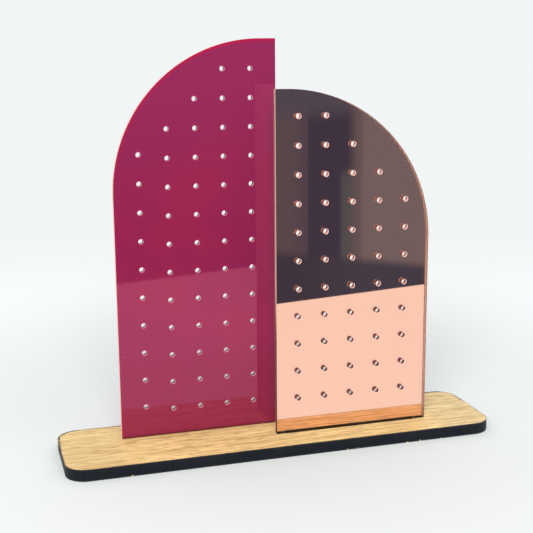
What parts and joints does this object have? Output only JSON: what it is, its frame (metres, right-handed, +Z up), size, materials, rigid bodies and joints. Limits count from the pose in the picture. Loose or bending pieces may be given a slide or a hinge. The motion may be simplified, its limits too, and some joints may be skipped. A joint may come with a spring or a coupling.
{
  "type": "earring display stand",
  "caption": "Earring stand: a tall plain and a short mirrored half-arch acrylic panel, both drilled with a grid of small holes, standing on tabs in a rounded oak-faced board.",
  "frame": {"origin": "middle of the board's underside", "axes": "+Z up, +X along the board to the right, -Y out of the panels' front faces"},
  "size_m": [0.225, 0.055, 0.2065],
  "materials": {
    "charred_fibreboard": "laser-cut edge, charred black, satin",
    "oak_veneer": "pale oak, straight grain along the board, unvarnished",
    "mirror_paint": "pale grey protective paint, sprayed",
    "mirror_film": "vacuum-metallised mirror",
    "rose_clear_acrylic": "clear, rose-gold tint, polished",
    "magenta_acrylic": "opaque deep magenta, polished"
  },
  "bodies": {
    "board": {"board_core": "charred_fibreboard", "board_veneer_bottom": "oak_veneer", "board_veneer_top": "oak_veneer"},
    "tall_leaf": {"tall_panel": "magenta_acrylic"},
    "mirror_leaf": {"mirror_panel": "rose_clear_acrylic", "mirror_film": "mirror_film", "mirror_back_coat": "mirror_paint"}
  },
  "joints": [
    {"name": "tall_panel_lift", "type": "slide", "parent": "board", "child": "tall_leaf", "axis": [0, 0, 1], "range_m": [0, 0.012]},
    {"name": "mirror_panel_lift", "type": "slide", "parent": "board", "child": "mirror_leaf", "axis": [0, 0, 1], "range_m": [0, 0.012]}
  ]
}
